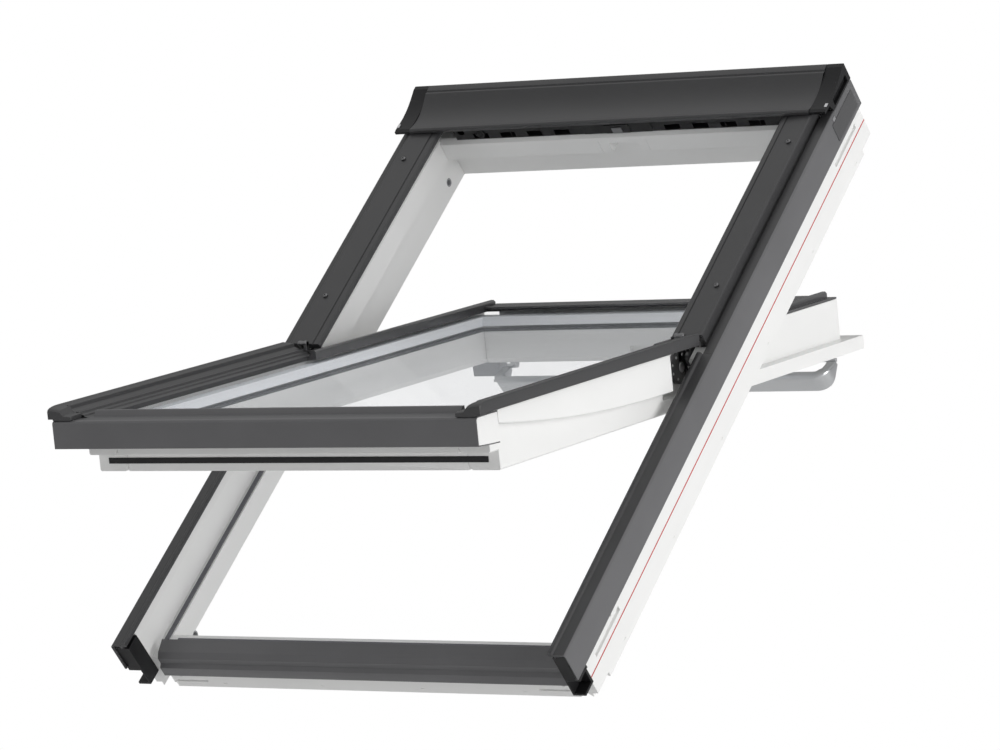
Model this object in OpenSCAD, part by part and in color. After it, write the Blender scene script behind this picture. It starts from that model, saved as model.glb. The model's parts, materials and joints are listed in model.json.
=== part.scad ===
// Centre-pivot roof window: a moulded white frame with dark aluminium cladding,
// and a sash that turns about its middle. Drawn in the plane of the roof
// (X across, Y up the slope, Z out of the roof) and then tipped to the pitch.

/* [Window] */
// Outer width of the white frame
frame_w = 780; // [520:1:1340]
// Outer length of the white frame, up the slope
frame_h = 1178; // [920:1:1600]
// Pitch of the roof in degrees
roof_pitch = 46; // [15:1:80]
// How far the sash is turned open, in degrees
sash_open = 35.5; // [0:0.5:120]

/* [Frame] */
// Width of a jamb behind the sash, outside to the room-side face
jamb_w = 34; // [30:0.5:50]
// How much the stop of the upper half stands in from that face
upper_stop = 14; // [10:0.5:20]
// How much the outer rebate of the lower half stands back from that face
lower_rebate = 16; // [10:0.5:20]
// Depth of the frame's room-side face below the cladding ridge
frame_depth = 126; // [110:1:150]
// Depth at which the frame's outer faces end and the collar lip begins
side_depth = 114; // [100:1:120]
// Depth of the plane in which the fixing brackets clamp the roof
install_depth = 84; // [70:1:95]
// Depth of the step that both halves close on
step_depth = 62; // [58:0.5:70]
// Length of the head, up the slope
head_l = 42; // [34:1:60]
// Length of the sill's stop, up the slope
sill_l = 48; // [40:1:60]
// Splay of the lower jamb's room-side edge
splay = 28; // [10:1:30]

/* [Cladding] */
// Thickness of the aluminium sheet
sheet = 1.5; // [1:0.1:2.5]
// How far each side cladding stands out past the frame
clad_out = 8.5; // [7:0.25:10]
// Width of the flat top of a side cladding
clad_top = 19; // [14:0.5:26]
// Height of the side cladding's outer skirt
clad_h = 51; // [40:1:60]
// How far the side cladding runs past the bottom of the frame
clad_over = 32; // [20:1:40]
// Height of the upper side cover above the cladding ridge
cover_rise = 15; // [10:0.5:17]
// Width of the upper side cover
cover_w = 56; // [44:1:60]
// Height of the hood's top edge
hood_rise = 32; // [26:1:45]
// Width of the hood, down the slope
hood_l = 98; // [80:1:110]
// Width of each hood end cap
hood_cap_w = 29; // [20:1:40]

/* [Sash] */
// Height of the pivot axis above the cladding ridge
pivot_rise = 20; // [16:0.5:22]
// Running gap between the sash and the frame
sash_gap = 3; // [2.5:0.25:4]
// Depth of the sash's room-side face
sash_depth = 85; // [80:1:95]
// Width of the sash frame behind the glass
stile_w = 56; // [48:1:70]
// Length of the sash's top rail, up the slope
top_rail_l = 92; // [80:1:110]
// Length of the sash's bottom rail, up the slope
bottom_rail_l = 70; // [60:1:90]
// Depth of the glass surface
glass_depth = 4; // [3:0.5:8]
// Thickness of each pane
pane_t = 4; // [3:0.5:6]
// Gap between the panes
pane_gap = 16; // [12:1:16]
// Height of the fascia at the sash's foot
fascia_h = 42; // [34:1:42]
// How far the fascia stands past the foot of the frame
fascia_over = 23.5; // [15:0.5:26]
// Height of the lower side cover's ridge above the cladding ridge
ridge_rise = 24; // [20:0.5:25]

/* [Fittings] */
// Radius of the hinge pin
pin_r = 4; // [3:0.25:5]
// Thickness of a hinge plate
hinge_t = 6; // [4:0.5:6]
// Radius of the barrel bolt
bolt_r = 4.5; // [3.5:0.25:5]
// Travel of the barrel bolt
bolt_travel = 15; // [10:1:18]
// Depth of the barrel bolt's axis
bolt_depth = 104; // [100:1:108]
// Length of the control bar
bar_l = 640; // [380:1:1200]
// Radius of the peg hole in the sill's foot
peg_r = 4.2; // [3:0.1:5]
// Radius of the screw holes beside it
pilot_r = 2.2; // [1.5:0.1:3]
// Depth of the holes in the sill's foot
pilot_l = 16; // [10:1:22]

/* [Hidden] */
// Clearance of a turning or sliding round fit
run_fit = 0.05;
// Gap between pieces that lie side by side
lay_gap = 0.3;
// Overlap of shapes that are joined end to end
eps = 0.01;

half_w = frame_w / 2;
// Half widths of the frame's openings
room_x = half_w - jamb_w;
stop_x = room_x - upper_stop;
rebate_x = room_x + lower_rebate;
// Half widths of the sash
flange_x = room_x - sash_gap;
inner_x = room_x - sash_gap - 5;
wide_x = rebate_x - sash_gap - 1;
main_x = stop_x - 10;
clad_x = half_w + clad_out;
ridge_x = clad_x - clad_top - sash_gap;

pivot_v = frame_h / 2;
// Half length of the gap in the covers around the pivot
pivot_gap = 22;
// Length of the curve from the lower rebate to the upper stop
curve_l = 14;
// Where the sash's wide lower part ends, short of the frame's curve
wide_end_v = pivot_v - 18 - curve_l - 4;
head_v = frame_h - head_l;
head_stop_v = head_v - 36;
// Ends of the sash, closed
sash_top_v = head_v - sash_gap - 2;
sash_main_v = head_stop_v - 6;
rail_v = 33;
rail_in_v = sill_l + 7;
sill_top_v = rail_v - 9;
glass_x = main_x - 8;
glass_top_v = sash_main_v - 8;
glass_bot_v = 12;
inner_bot_v = rail_v + 3;
light_x = flange_x - stile_w;
light_top_v = sash_top_v - top_rail_l;
light_bot_v = rail_in_v + bottom_rail_l;
unit_t = 2 * pane_t + pane_gap;
bed_n = -glass_depth - unit_t - 2;
// Level of the vent flap, and of the trims that pass under the upper side covers
top_cap_n = 4;
trim_n = 3;

// Barrel bolt, and the angle at which it meets its lower bush
bolt_v = head_v - 44;
bolt_angle = atan2(pivot_rise + bolt_depth, bolt_v - pivot_v);
clean_angle = 180 - 2 * bolt_angle;
bush_low_v = 2 * pivot_v - bolt_v;

// Control bar
bar_axis_v = sash_main_v - 10;
bar_axis_n = -sash_depth - 9;
bar_v = bar_axis_v - 34;
bar_n = bar_axis_n - 30;

// Latch case in the top rail
latch_n = -step_depth + 4;
latch_h = 13;

hood_v = frame_h - hood_l;
hood_x = clad_x - hood_cap_w;
hood_back = frame_h + lay_gap + sheet;
// The hood's lip rests just over the upper side covers
lip_n = cover_rise + lay_gap;
cover_mid_x = clad_x - clad_top - 6 - cover_w / 2;
flap_v = sash_main_v - 34;
flap_x = glass_x - 22;

// Bracket slots in the jambs: the middle of each, their length and their depth
slot_rows = [80, frame_h - 75];
slot_l = 92;
slot_depth = 71;
// Screw hole in each jamb for the flashing
side_bore_v = 102;
side_bore_depth = 60.5;
side_bore_r = 2.5;
side_bore_l = 12;
lip_notches = [for (k = [0:5]) 107 + k * (frame_h - 173) / 5];
// Holes in the sill's foot: distance in from the jamb, depth, radius
sill_holes = [[18, 97, peg_r], [8, 90, pilot_r], [42, 92, pilot_r]];

white = [0.94, 0.94, 0.93];
dark = [0.25, 0.25, 0.27];
grey = [0.5, 0.5, 0.52];
black = [0.08, 0.08, 0.09];
steel = [0.72, 0.72, 0.74];
clear = [0.55, 0.68, 0.75, 0.35];

// Tips the roof plane to its pitch about the centre of the fixing plane
module roof() {
    rotate([roof_pitch, 0, 0]) translate([0, -pivot_v, install_depth]) children();
}

// Turns a piece that is drawn with the sash closed to the open sash
module sash() {
    roof() translate([0, pivot_v, pivot_rise]) rotate([-sash_open, 0, 0])
        translate([0, -pivot_v, -pivot_rise]) children();
}

// A section drawn as [x, n], run up the slope from v0 to v1
module along_v(v0, v1) {
    translate([0, v1, 0]) rotate([90, 0, 0]) linear_extrude(v1 - v0) children();
}

// A section drawn as [v, n], run across from x0 to x1
module along_x(x0, x1) {
    translate([x0, 0, 0]) rotate([90, 0, 90]) linear_extrude(x1 - x0) children();
}

// The right-hand piece as drawn, and the left-hand one as its mirror image
module hand(side) {
    mirror([side < 0 ? 1 : 0, 0, 0]) children();
}

// A round bar along X
module rod(x0, x1, v, n, r, sides = 32) {
    translate([x0, v, n]) rotate([0, 90, 0]) cylinder(r = r, h = x1 - x0, $fn = sides);
}

// ---- Frame ----

// Sections of the right jamb, as [x, n] outlines
function jamb_upper() = [
    [stop_x, -step_depth], [stop_x, -24], [stop_x + 10, -10], [clad_x - clad_top, -10],
    [clad_x - clad_top, -sheet], [half_w, -sheet], [half_w, -side_depth],
    [half_w - 3, -side_depth], [half_w - 3, -frame_depth], [room_x, -frame_depth],
    [room_x, -step_depth]];
function jamb_lower() = [
    [room_x, -frame_depth + splay], [room_x, -step_depth], [rebate_x, -step_depth],
    [rebate_x, -16], [rebate_x + 3, -sheet], [half_w, -sheet], [half_w, -side_depth],
    [half_w - 3, -side_depth], [half_w - 3, -frame_depth], [room_x + splay, -frame_depth]];

module jamb() {
    difference() {
        union() {
            along_v(pivot_v - 18, frame_h) polygon(jamb_upper());
            along_v(0, pivot_v - 18) polygon(jamb_lower());
            jamb_curve();
        }
        // Ends of the collar lip
        for (v = [-1, head_v + 7])
            translate([half_w - 10, v, -frame_depth - 1])
                cube([11, v < 0 ? 45 : 40, frame_depth - side_depth + 1]);
        // Seat of the hinge plate
        translate([stop_x - 1, pivot_v - 19, -43])
            cube([hinge_t + 1, 47 + lay_gap, 50]);
        // Long slots that take the roof brackets
        for (v = slot_rows)
            translate([half_w - 5, v - slot_l / 2, -slot_depth - 4]) cube([6, slot_l, 8]);
        // Screw hole for the flashing
        rod(half_w - side_bore_l, half_w + 1, side_bore_v, -side_bore_depth, side_bore_r, 24);
        // Notches over the collar lip
        for (v = lip_notches)
            translate([half_w - 4, v - 4, -side_depth - 4]) cube([5, 8, 5]);
    }
}

// The curve by which the lower rebate runs into the upper stop
module jamb_curve() {
    steps = 12;
    depth = rebate_x - stop_x;
    v0 = pivot_v - 18 - curve_l;
    translate([0, 0, -step_depth]) linear_extrude(step_depth - 24)
        polygon(concat([[half_w - 1, pivot_v - 17], [half_w - 1, v0]],
            [for (i = [0:steps])
                [rebate_x - depth * (1 - cos(180 * i / steps)) / 2, v0 + curve_l * i / steps]],
            [[stop_x, pivot_v - 17]]));
}

module frame_jamb_left() { roof() color(white) hand(-1) difference() { jamb(); bush_seats(); } }
module frame_jamb_right() { roof() color(white) jamb(); }

// Bores of the left jamb that take the bushes
module bush_seats() {
    for (v = [bolt_v, bush_low_v]) rod(room_x - 3, half_w - 8, v, -bolt_depth, bolt_r + 3, 32);
}

module frame_head() {
    roof() color(white) difference() {
        union() {
            along_x(-stop_x + lay_gap, stop_x - lay_gap)
                polygon([[head_stop_v, -step_depth], [head_stop_v, -30], [head_stop_v + 8, -22],
                    [head_v + 14, -22], [head_v + 14, -4], [frame_h, -4],
                    [frame_h, -step_depth - 5], [head_v + 5, -step_depth - 5],
                    [head_v + 5, -step_depth]]);
            along_x(-room_x + lay_gap, room_x - lay_gap)
                polygon([[head_v, -frame_depth], [head_v, -step_depth],
                    [frame_h, -step_depth], [frame_h, -frame_depth]]);
        }
        // Seat of the striker
        translate([-44 - lay_gap, head_stop_v - 1, -step_depth - 1])
            cube([88 + 2 * lay_gap, 26, 26 + lay_gap]);
    }
}

module frame_sill() {
    roof() color(white) difference() {
        along_x(-room_x + lay_gap, room_x - lay_gap)
            polygon([[0, -side_depth], [0, -66], [4, -52], [sill_top_v, -46],
                [sill_top_v, -step_depth], [sill_l, -step_depth],
                [sill_l, -frame_depth + 20], [sill_l - 14, -frame_depth],
                [3, -frame_depth], [3, -side_depth]]);
        // Peg and screw holes in the foot, and a bracket slot, near each corner
        for (s = [-1, 1]) {
            for (h = sill_holes)
                translate([s * (room_x - h[0]), -1, -h[1]]) rotate([-90, 0, 0])
                    cylinder(r = h[2], h = pilot_l + 1, $fn = 24);
            translate([s * (room_x - 34) - 30, -1, -side_depth - 1]) cube([60, 9, 7]);
        }
        // Notches over the collar lip
        for (x = [-1.5:1:1.5])
            translate([x * (room_x - 3) / 2 - 4, -1, -side_depth - 4]) cube([8, 5, 5]);
    }
}

// ---- Cladding of the frame ----

module side_cladding() {
    color(dark) along_v(-clad_over, frame_h) polygon([
        [clad_x - clad_top, -sheet], [clad_x - clad_top, 0], [clad_x - 2, 0], [clad_x, -2],
        [clad_x, -clad_h], [clad_x - sheet, -clad_h], [clad_x - sheet, -2 - sheet / 2],
        [clad_x - 2 - sheet / 2, -sheet]]);
}
module side_cladding_left() { roof() hand(-1) side_cladding(); }
module side_cladding_right() { roof() side_cladding(); }

module sill_cladding() {
    t = sheet;
    roof() color(dark) along_x(-room_x + lay_gap, room_x - lay_gap) polygon([
        [sill_top_v, -46 + t], [4 - t / 2, -52 + t], [-3 - t, -58 + t / 2],
        [-3 - t, -68 + t / 2], [-9 - t, -72 + t / 2], [-9 - t, -88], [-9, -88], [-9, -72],
        [0, -68], [0, -66], [4, -52], [sill_top_v, -46]]);
}

module sill_strip() {
    roof() color(grey) difference() {
        translate([-room_x + 10, sill_top_v + lay_gap, -step_depth])
            cube([2 * room_x - 20, 7, 3]);
        for (s = [-1, 1])
            translate([s * (room_x - 42) - 6, sill_top_v + 3, -step_depth - 1]) cube([12, 10, 5]);
    }
}

module corner_piece() {
    color(black) difference() {
        translate([rebate_x, -clad_over + 4, -88])
            cube([clad_x - sheet - lay_gap - rebate_x, clad_over - 4 - lay_gap, 88 - 2 * sheet]);
        translate([rebate_x + 3, -clad_over, -84]) cube([clad_x, clad_over - 5, 26]);
        translate([clad_x - sheet - lay_gap - 3, -clad_over, -88 - eps]) cube([9, clad_over + 1, 30]);
        translate([rebate_x - 1, -clad_over, -10])
            cube([clad_x - clad_top - rebate_x + 1, clad_over + 1, 11]);
    }
}
module corner_piece_left() { roof() hand(-1) corner_piece(); }
module corner_piece_right() { roof() corner_piece(); }

// Upper side cover: a folded channel that laps over the sash's edge
module upper_cover() {
    x1 = clad_x - clad_top - 6;
    x0 = x1 - cover_w;
    t = sheet;
    color(dark) along_v(pivot_v + pivot_gap + 2, hood_v + 16) polygon([
        [x0, 4], [x0, cover_rise - 4], [x0 + 4, cover_rise], [x1 - 2, cover_rise],
        [x1, cover_rise - 2], [x1, -10], [x1 - 12, -10], [x1 - 12, -10 + t],
        [x1 - t, -10 + t], [x1 - t, cover_rise - 2 - t / 2], [x1 - 2 - t / 2, cover_rise - t],
        [x0 + 4 + t / 2, cover_rise - t], [x0 + t, cover_rise - 4 - t / 2], [x0 + t, 4]]);
}
module upper_cover_left() { roof() hand(-1) upper_cover(); }
module upper_cover_right() { roof() upper_cover(); }

// Hood face: a shallow hollow between the lip and the top edge
function hood_arc(inset) = [for (i = [0:14]) let (t = i / 14)
    [hood_v + 6 + t * (hood_l - 12), 22 + (hood_rise - 22) * t - 5 * sin(180 * t) - inset]];

// The hood's folded sheet: lip, hollow face, top edge and the flange behind it
module hood() {
    roof() color(dark) along_x(-hood_x, hood_x) polygon(concat(
        [[hood_v, lip_n], [hood_v, 21]], hood_arc(0),
        [[hood_back, hood_rise], [hood_back, -30],
            [hood_back - sheet, -30], [hood_back - sheet, hood_rise - sheet]],
        [for (i = [14:-1:0]) hood_arc(sheet)[i]],
        [[hood_v + sheet, 20.2], [hood_v + sheet, lip_n]]));
}

module hood_cap() {
    color(black) difference() {
        along_x(hood_x + lay_gap, clad_x) polygon(concat(
            [[hood_v, lip_n], [hood_v, 20]], hood_arc(1),
            [[hood_back, hood_rise - 1], [hood_back, lay_gap], [hood_v + 24, lay_gap],
                [hood_v + 18, lip_n]]));
        // Hollow behind the end wall, and the recess in its outer face
        translate([hood_x, hood_v + 30, 3]) cube([hood_cap_w - 10, hood_l - 36, 14]);
        translate([clad_x - 6, hood_v + 32, 4]) cube([7, hood_l - 40, 12]);
    }
}
module hood_cap_left() { roof() hand(-1) hood_cap(); }
module hood_cap_right() { roof() hood_cap(); }

// Side plates at the head, each with a tab that hooks the hood's cap
module hood_clips() {
    roof() color(steel) for (s = [-1, 1]) hand(s) {
        translate([clad_x, hood_v + 2, -44]) cube([1.2, 84, 40]);
        translate([clad_x, hood_v + 22, -5]) cube([1.2, 9, 11]);
    }
}

// Ventilation housing under the hood, over the head
module vent_housing() {
    roof() color(dark) difference() {
        along_x(-stop_x + 36, stop_x - 36) polygon([[head_stop_v + 2, -22], [head_stop_v + 2, 6],
            [head_stop_v + 10, 12], [head_v + 14, 12], [head_v + 14, -22]]);
        along_x(-stop_x + 38, stop_x - 38)
            polygon([[head_stop_v + 4, -20], [head_stop_v + 4, 5], [head_stop_v + 11, 10],
                [head_v + 12, 10], [head_v + 12, -20]]);
        // Air slots in the face, and the round hole beside them
        for (k = [-5:5]) if (abs(k) > 1)
            translate([k * (stop_x - 60) / 5.5 - 14, head_stop_v, -20]) cube([28, 4.5, 10]);
        translate([-stop_x + 50, head_stop_v - 1, -6]) rotate([-90, 0, 0])
            cylinder(r = 6, h = 6, $fn = 24);
    }
}

module striker() {
    roof() color(steel) difference() {
        translate([-44, head_stop_v + 1 - lay_gap, -step_depth + 1]) cube([88, 24, 24]);
        translate([-26, head_stop_v, -step_depth]) cube([52, 19, 20]);
    }
}

// ---- Gaskets ----

module upper_gasket() {
    roof() color(black) {
        for (s = [-1, 1]) hand(s) along_v(pivot_v + 60, head_v - 2)
            translate([stop_x + 2, -step_depth - 2]) square([8, 2]);
        for (s = [-1, 1]) hand(s)
            translate([50, head_stop_v + 4, -step_depth - 2]) cube([stop_x - 54, 8, 2]);
    }
}

module lower_gasket() {
    roof() color(black) {
        for (s = [-1, 1]) hand(s) along_v(sill_top_v + 8, pivot_v - 40)
            translate([room_x + 3, -step_depth]) square([8, 2]);
        translate([-room_x + 14, sill_top_v + 9, -step_depth]) cube([2 * room_x - 28, 8, 2]);
    }
}

// ---- Hinges ----

module hinge_frame() {
    x0 = stop_x;
    color(steel) difference() {
        union() {
            translate([x0, pivot_v - 18 + lay_gap, -42]) cube([hinge_t, 45, 34]);
            translate([x0, pivot_v - 6, -9]) cube([hinge_t, 12, pivot_rise + 9]);
            rod(x0, x0 + hinge_t, pivot_v, pivot_rise, 8, 32);
        }
        rod(x0 - 1, x0 + hinge_t + 1, pivot_v, pivot_rise, pin_r + run_fit, 32);
    }
}
module hinge_frame_left() { roof() hand(-1) hinge_frame(); }
module hinge_frame_right() { roof() hinge_frame(); }

module hinge_sash() {
    x0 = main_x + lay_gap;
    color(steel) {
        translate([x0, pivot_v - 14, -56]) cube([hinge_t - 1, 66, 40]);
        translate([x0, pivot_v - 6, -17]) cube([hinge_t - 1, 12, pivot_rise + 17]);
        rod(x0, x0 + hinge_t - 1, pivot_v, pivot_rise, 8, 32);
        rod(x0, stop_x + hinge_t + 1, pivot_v, pivot_rise, pin_r, 32);
    }
}
module hinge_sash_left() { sash() hand(-1) hinge_sash(); }
module hinge_sash_right() { sash() hinge_sash(); }

module bolt_bushes() {
    roof() color(grey) hand(-1) for (v = [bolt_v, bush_low_v]) difference() {
        rod(room_x + (v < pivot_v ? 1 : lay_gap), half_w - 9, v, -bolt_depth, bolt_r + 2.9, 32);
        rod(room_x - 1, half_w - 11, v, -bolt_depth, bolt_r + 0.6, 32);
    }
}

// ---- Screws ----

module pan_head(r, h) {
    difference() {
        union() {
            cylinder(r = r, h = h * 0.6, $fn = 24);
            translate([0, 0, h * 0.6 - eps]) cylinder(r1 = r, r2 = r * 0.6, h = h * 0.4, $fn = 24);
        }
        translate([0, 0, h * 0.5]) rotate([0, 0, 45]) cube([r * 1.1, 1, h * 1.2], center = true);
        translate([0, 0, h * 0.5]) rotate([0, 0, -45]) cube([r * 1.1, 1, h * 1.2], center = true);
    }
}

module frame_screws() {
    roof() color(steel) for (s = [-1, 1]) hand(s) {
        for (v = [pivot_v + 113, hood_v - 60])
            translate([cover_mid_x + 10, v, cover_rise + lay_gap / 3]) pan_head(4, 2.4);
        for (v = [pivot_v - 10, pivot_v + 20])
            translate([stop_x - 2.2, v, -30]) rotate([0, 90, 0])
                cylinder(r = 3.2, h = 2, $fn = 24);
    }
}

// ---- Sash ----

function stile_lower() = [
    [light_x, -sash_depth + 8], [light_x + 6, -sash_depth], [inner_x, -sash_depth],
    [inner_x, -step_depth + 5], [wide_x, -step_depth + 5], [wide_x, -22], [wide_x - 6, -18],
    [glass_x + 14, -18], [glass_x + 8, -glass_depth - 1], [glass_x + 4, -glass_depth - 1],
    [glass_x + 4, bed_n], [light_x, bed_n]];
function stile_upper() = [
    [light_x, -sash_depth + 8], [light_x + 6, -sash_depth], [flange_x, -sash_depth],
    [flange_x, -step_depth - 3], [main_x, -step_depth - 3], [main_x, top_cap_n - 4],
    [glass_x + 4, top_cap_n - 4], [glass_x + 4, bed_n], [light_x, bed_n]];
function stile_middle() = [
    [light_x, -sash_depth + 8], [light_x + 6, -sash_depth], [inner_x, -sash_depth],
    [inner_x, -step_depth - 3], [main_x, -step_depth - 3], [main_x, top_cap_n - 4],
    [glass_x + 4, top_cap_n - 4], [glass_x + 4, bed_n], [light_x, bed_n]];

module stile() {
    color(white) {
        union() {
            along_v(rail_in_v, wide_end_v) polygon(stile_lower());
            along_v(wide_end_v, pivot_v + 40) polygon(stile_middle());
            along_v(pivot_v + 40, sash_top_v) polygon(stile_upper_cut());
            along_v(pivot_v + 40, sash_main_v) polygon(stile_upper());
            // Foot of the stile, ahead of the room-side face
            along_v(rail_v, rail_in_v + eps) polygon([
                [light_x, bed_n], [light_x, -step_depth + 5], [wide_x, -step_depth + 5],
                [wide_x, -22], [wide_x - 6, -18], [glass_x + 14, -18],
                [glass_x + 8, -glass_depth - 1], [glass_x + 4, -glass_depth - 1],
                [glass_x + 4, bed_n]]);
        }
    }
}
// The part of the upper stile that runs on behind the head's stop
function stile_upper_cut() = [
    [light_x, -sash_depth + 8], [light_x + 6, -sash_depth], [flange_x, -sash_depth],
    [flange_x, -step_depth - 3], [light_x, -step_depth - 3]];

module sash_stile_left() {
    sash() difference() {
        hand(-1) stile();
        // Finger recess beside the barrel bolt
        translate([-light_x - 22, bolt_v - 60, -sash_depth + 6]) hull() {
            cylinder(r = 8, h = 30, center = true, $fn = 32);
            translate([0, 24, 0]) cylinder(r = 8, h = 30, center = true, $fn = 32);
        }
    }
}
module sash_stile_right() { sash() stile(); }

module sash_top_rail() {
    sash() color(white) difference() {
        along_x(-light_x + lay_gap, light_x - lay_gap) polygon([
            [light_top_v, -sash_depth + 8], [light_top_v + 6, -sash_depth],
            [sash_top_v, -sash_depth], [sash_top_v, -step_depth - 3],
            [sash_main_v, -step_depth - 3], [sash_main_v, top_cap_n - 4],
            [glass_top_v + 4, top_cap_n - 4], [glass_top_v + 4, bed_n],
            [light_top_v, bed_n]]);
        // Pocket for the latch, and the grip slot below it
        translate([-38 - lay_gap, sash_main_v - 38 - lay_gap, latch_n - lay_gap])
            cube([76 + 2 * lay_gap, 39, latch_h + 2 * lay_gap]);
        translate([-22, light_top_v - 1, -sash_depth + 12]) cube([44, 9, 12]);
        translate([-26, sash_main_v - 36, -sash_depth - 1]) cube([52, 26, 25]);
    }
}

module sash_bottom_rail() {
    sash() color(white) {
        along_x(-light_x + lay_gap, light_x - lay_gap) polygon([
            [light_bot_v, -sash_depth + 8], [light_bot_v - 6, -sash_depth],
            [rail_in_v, -sash_depth], [rail_in_v, -step_depth + 5], [rail_v, -step_depth + 5],
            [rail_v, bed_n], [light_bot_v, bed_n]]);
    }
}

// One sheet of glass, and the frames that lie along its edge
module pane(n, v0) {
    translate([-glass_x, v0, n]) cube([2 * glass_x, glass_top_v - v0, pane_t]);
}
module edge_ring(inset, w, n, h) {
    x = glass_x - inset;
    v0 = inner_bot_v + inset;
    v1 = glass_top_v - inset;
    difference() {
        translate([-x, v0, n]) cube([2 * x, v1 - v0, h]);
        translate([-x + w, v0 + w, n - 1]) cube([2 * (x - w), v1 - v0 - 2 * w, h + 2]);
    }
}
module outer_pane() { sash() color(clear) pane(-glass_depth - pane_t, glass_bot_v); }
module inner_pane() { sash() color(clear) pane(-glass_depth - unit_t, inner_bot_v); }
module pane_spacer() {
    sash() color(grey) edge_ring(2, 12, -glass_depth - pane_t - pane_gap, pane_gap);
}
module glass_bedding() {
    sash() color(black) edge_ring(0, 14, bed_n, 2);
}

// Fascia across the sash's foot
module sash_fascia() {
    t = sheet;
    top_n = 3;
    low_n = top_n - fascia_h;
    sash() color(dark) {
        along_x(-wide_x + 0.5, wide_x - 0.5) polygon([
            [-fascia_over, low_n], [-fascia_over, top_n - 2], [-fascia_over + 2, top_n],
            [26, top_n], [26, -glass_depth + lay_gap],
            [24.5, -glass_depth + lay_gap], [24.5, top_n - t],
            [-fascia_over + 2 + t / 2, top_n - t],
            [-fascia_over + t, top_n - 2 - t / 2], [-fascia_over + t, low_n + t],
            [rail_v - lay_gap, low_n + t - 3], [rail_v - lay_gap, low_n - 3],
            [-fascia_over + 12, low_n]]);
        // Raised bar over the foot of the glass
        along_x(-glass_x + 5, glass_x - 5)
            polygon([[12, top_n - t / 2], [20, top_n + 9], [26, top_n + 9], [26, top_n - t / 2]]);
    }
}

// Lower side cover: a ridge at the outside and a slope down to the glass
module sash_cover() {
    t = sheet;
    x1 = ridge_x;
    xf = glass_x - 4;
    color(dark) difference() {
        along_v(-fascia_over + 10, pivot_v - pivot_gap - 2) polygon([
            [x1, 6], [x1, ridge_rise - 2], [x1 - 2, ridge_rise], [x1 - 20, ridge_rise - 3],
            [xf + 10, 8], [xf, 3], [xf, -glass_depth + lay_gap],
            [xf + t, -glass_depth + lay_gap], [xf + t, 3 - t],
            [xf + 11, 8 - t], [x1 - 19.5, ridge_rise - 3 - t], [x1 - 2 - t / 2, ridge_rise - t],
            [x1 - t, ridge_rise - 2 - t / 2], [x1 - t, 6]]);
        // Room for the fascia's top at the foot
        translate([0, -fascia_over, -40]) cube([wide_x + 1, fascia_over + 30, 43 + lay_gap]);
    }
    // Foot that carries the cover on the stile
    color(dark) along_v(rail_v + 10, pivot_v - pivot_gap - 2)
        polygon([[wide_x - 14, -18 + lay_gap], [wide_x - 6, -18 + lay_gap],
            [wide_x - 6, ridge_rise - 3], [wide_x - 8, ridge_rise - 3],
            [wide_x - 8, -16], [wide_x - 14, -16]]);
}
module sash_cover_left() { sash() hand(-1) sash_cover(); }
module sash_cover_right() { sash() sash_cover(); }

// Dark trims over the glass edge in the upper half
module sash_trim() {
    color(dark) along_v(pivot_v - pivot_gap + 2, sash_main_v) polygon([
        [glass_x - 20, -glass_depth + lay_gap], [glass_x - 20, trim_n + 6],
        [glass_x - 17, trim_n + 9], [glass_x - 11, trim_n + 9], [glass_x - 8.5, trim_n + 6],
        [glass_x - 8.5, trim_n], [main_x, trim_n], [main_x, top_cap_n - 3.7],
        [glass_x + 3.5, top_cap_n - 3.7], [glass_x + 3.5, -glass_depth + lay_gap]]);
}
module sash_trim_left() { sash() hand(-1) sash_trim(); }
module sash_trim_right() { sash() sash_trim(); }

module sash_top_trim() {
    sash() color(dark) along_x(-glass_x + 20 + lay_gap, glass_x - 20 - lay_gap) polygon([
        [glass_top_v - 20, -glass_depth + lay_gap], [glass_top_v - 20, top_cap_n - 5],
        [glass_top_v - 18, top_cap_n - 3.7], [sash_main_v, top_cap_n - 3.7],
        [sash_main_v, top_cap_n - 3.9], [glass_top_v + 3.5, top_cap_n - 3.9],
        [glass_top_v + 3.5, -glass_depth + lay_gap]]);
}

module vent_flap() {
    sash() color(dark) {
        along_x(-flap_x, flap_x) polygon([
            [flap_v + 3, top_cap_n - 3.3], [flap_v + 3, top_cap_n],
            [sash_main_v - 1, top_cap_n + 2], [sash_main_v + 2, top_cap_n],
            [sash_main_v + 2, top_cap_n - 3.3]]);
        rod(-flap_x, flap_x, flap_v, top_cap_n - 0.8, 2.4, 24);
        along_x(-flap_x, flap_x)
            translate([flap_v, top_cap_n - 3]) square([4, 3]);
    }
}

module sash_screws() {
    sash() color(steel) for (s = [-1, 1]) hand(s) {
        for (v = [pivot_v + 14, pivot_v + 40])
            translate([main_x + hinge_t - 1 + 2 * lay_gap, v, -34]) rotate([0, 90, 0])
                cylinder(r = 3.2, h = 1.6, $fn = 24);
    }
}

// ---- Fittings on the sash ----

module bolt_housing() {
    sash() color(grey) hand(-1) difference() {
        hull() {
            translate([flange_x - 50, bolt_v - 11, -bolt_depth - 9]) cube([49, 22, 10]);
            translate([flange_x - 54, bolt_v - 13, -sash_depth - 2]) cube([53.5, 26, 2]);
        }
        rod(flange_x - 60, flange_x + 1, bolt_v, -bolt_depth, bolt_r + run_fit, 32);
        // Slot in which the knob runs
        translate([flange_x - 40, bolt_v - 3, -bolt_depth - 12]) cube([bolt_travel + 7, 6, 12]);
    }
}

module barrel_bolt() {
    sash() color(steel) hand(-1) {
        rod(flange_x - 48, flange_x - 0.5, bolt_v, -bolt_depth, bolt_r, 32);
        translate([flange_x - 36.5, bolt_v, -bolt_depth - 17]) cylinder(r = 2.6, h = 17, $fn = 24);
        translate([flange_x - 36.5, bolt_v, -bolt_depth - 20]) cylinder(r = 4.2, h = 4, $fn = 24);
    }
}

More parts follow.
